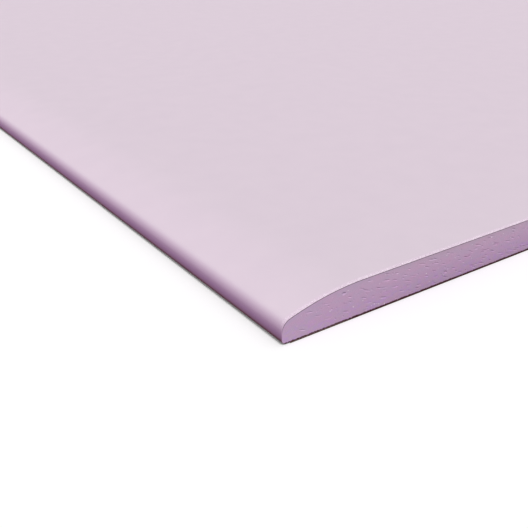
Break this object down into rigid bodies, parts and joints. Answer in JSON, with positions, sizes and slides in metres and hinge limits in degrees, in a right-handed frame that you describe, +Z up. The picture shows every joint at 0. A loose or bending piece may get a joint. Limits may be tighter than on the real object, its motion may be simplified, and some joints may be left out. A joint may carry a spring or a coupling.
{
  "type": "drywall sheet",
  "caption": "Flat gypsum wallboard sheet with pale face paper wrapped round two tapered long edges, brown back paper and square-cut ends.",
  "frame": {"origin": "middle of the underside, which is the outside of the back paper", "axes": "+X across the width, +Y along the length and the two wrapped edges, +Z up out of the face"},
  "size_m": [1.2192, 2.4384, 0.0127],
  "materials": {
    "gypsum": "mauve foamed gypsum, sawn, matt and slightly porous",
    "face_paper": "pale lilac finishing paper, smooth and matt",
    "back_paper": "brown recycled liner paper, matt with short fibres"
  },
  "bodies": {
    "root": {"gypsum_core": "gypsum", "face_paper": "face_paper", "back_paper": "back_paper"}
  },
  "joints": []
}
